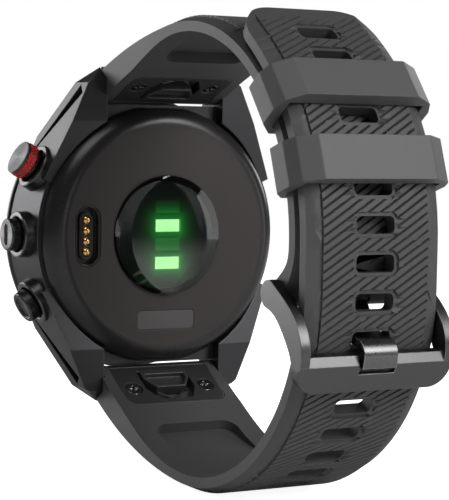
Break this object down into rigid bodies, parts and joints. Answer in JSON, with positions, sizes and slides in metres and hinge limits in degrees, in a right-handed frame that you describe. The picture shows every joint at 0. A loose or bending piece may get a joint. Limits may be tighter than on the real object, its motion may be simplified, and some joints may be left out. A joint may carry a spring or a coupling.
{
  "type": "golf gps watch",
  "caption": "Round golf GPS watch with a sensor back, side buttons and a ribbed rubber strap buckled into a loop.",
  "frame": {"origin": "centre of the sensor window's flat outer face, where the watch touches the wrist", "axes": "+Y into the wrist (the dial faces -Y), +Z towards 12 o'clock, +X towards 3 o'clock, the button side"},
  "size_m": [0.0505, 0.0786, 0.075],
  "materials": {
    "case_black": "satin black coating",
    "bezel_black": "satin black coating",
    "cover_graphite": "matte graphite with a glossy rounded edge",
    "front_glass": "clear, polished",
    "display_black": "black, switched off",
    "lens_black": "smoked, polished",
    "black_plastic": "fine matte",
    "port_black": "satin",
    "gold": "gold plated",
    "lamp_green": "lit",
    "diode_dark": "dark, glossy",
    "board_green": "solder mask",
    "seal_black": "smooth",
    "plate_grey": "anodised, satin",
    "frame_grey": "moulded",
    "foil_silver": "foil pouch",
    "motor_steel": "plain",
    "antenna_copper": "plated",
    "pin_steel": "polished",
    "button_dark": "dark coating, polished edges",
    "button_cap": "turned, circular grain",
    "crown_red": "red anodised, diamond knurl",
    "collar_dark": "polished dark coating",
    "strap_rubber": "charcoal silicone, diagonal ribs",
    "keeper_rubber": "charcoal silicone, smooth",
    "link_black": "satin black coating",
    "latch_black": "satin black coating",
    "screw_black": "black oxide",
    "insert_brass": "plain",
    "buckle_steel": "gunmetal, brushed",
    "tongue_steel": "gunmetal, brushed"
  },
  "bodies": {
    "watch": {"case_body": "case_black", "bezel": "bezel_black", "front_glass": "front_glass", "glass_seal": "seal_black", "display": "display_black", "back_cover": "cover_graphite", "back_gasket": "seal_black", "rating_plate": "plate_grey", "sensor_lens": "lens_black", "sensor_mask": "black_plastic", "sensor_board": "board_green", "sensor_lamps": "lamp_green", "photodiodes": "diode_dark", "port_shell": "port_black", "charge_contacts": "gold", "inner_frame": "frame_grey", "main_board": "board_green", "battery": "foil_silver", "vibration_motor": "motor_steel", "gps_antenna": "antenna_copper", "upper_lug_pin": "pin_steel", "lower_lug_pin": "pin_steel", "lower_strap": "strap_rubber", "upper_strap": "strap_rubber", "upper_button_collar": "collar_dark", "upper_button_seal": "seal_black", "upper_button_switch": "frame_grey", "middle_button_collar": "collar_dark", "middle_button_seal": "seal_black", "middle_button_switch": "frame_grey", "lower_button_collar": "collar_dark", "lower_button_seal": "seal_black", "lower_button_switch": "frame_grey", "upper_end_link": "link_black", "upper_link_screws": "screw_black", "upper_link_inserts": "insert_brass", "upper_latch_spring": "pin_steel", "lower_end_link": "link_black", "lower_link_screws": "screw_black", "lower_link_inserts": "insert_brass", "lower_latch_spring": "pin_steel"},
    "upper_button": {"upper_button": "button_cap", "upper_button_clip": "motor_steel", "crown_ring": "crown_red"},
    "middle_button": {"middle_button": "button_dark", "middle_button_clip": "motor_steel"},
    "lower_button": {"lower_button": "button_dark", "lower_button_clip": "motor_steel"},
    "upper_latch": {"upper_latch": "latch_black"},
    "lower_latch": {"lower_latch": "latch_black"},
    "upper_keeper": {"upper_keeper": "keeper_rubber"},
    "lower_keeper": {"lower_keeper": "keeper_rubber"},
    "buckle": {"buckle_frame": "buckle_steel", "spring_bar": "pin_steel"},
    "tongue": {"buckle_tongue": "tongue_steel"}
  },
  "joints": [
    {"name": "upper_button_press", "type": "slide", "parent": "watch", "child": "upper_button", "axis": [-0.8829, 0, -0.4695], "range_m": [0, 0.0007], "stiffness_N_per_m": 3000, "springref_m": -0.0003},
    {"name": "middle_button_press", "type": "slide", "parent": "watch", "child": "middle_button", "axis": [-1, 0, 0], "range_m": [0, 0.0007], "stiffness_N_per_m": 3000, "springref_m": -0.0003},
    {"name": "lower_button_press", "type": "slide", "parent": "watch", "child": "lower_button", "axis": [-0.8829, 0, 0.4695], "range_m": [0, 0.0007], "stiffness_N_per_m": 3000, "springref_m": -0.0003},
    {"name": "upper_latch_slide", "type": "slide", "parent": "watch", "child": "upper_latch", "axis": [0, 0.9135, 0.4067], "range_m": [0, 0.0022], "stiffness_N_per_m": 700, "springref_m": -0.0008, "deforming": ["upper_latch_spring"]},
    {"name": "lower_latch_slide", "type": "slide", "parent": "watch", "child": "lower_latch", "axis": [0, 0.848, -0.5299], "range_m": [0, 0.0022], "stiffness_N_per_m": 700, "springref_m": -0.0008, "deforming": ["lower_latch_spring"]},
    {"name": "upper_keeper_slide", "type": "hinge", "parent": "watch", "child": "upper_keeper", "pos_m": [0, 0.0243, 0.002], "axis": [1, 0, 0], "range_deg": [-3, 3]},
    {"name": "lower_keeper_slide", "type": "hinge", "parent": "watch", "child": "lower_keeper", "pos_m": [0, 0.0243, 0.002], "axis": [1, 0, 0], "range_deg": [-3, 3]},
    {"name": "buckle_swing", "type": "hinge", "parent": "watch", "child": "buckle", "pos_m": [0, 0.05346, -0.00528], "axis": [1, 0, 0], "range_deg": [-1, 2]},
    {"name": "tongue_lift", "type": "hinge", "parent": "buckle", "child": "tongue", "pos_m": [0, 0.05346, -0.00528], "axis": [1, 0, 0], "range_deg": [0, 2]}
  ]
}
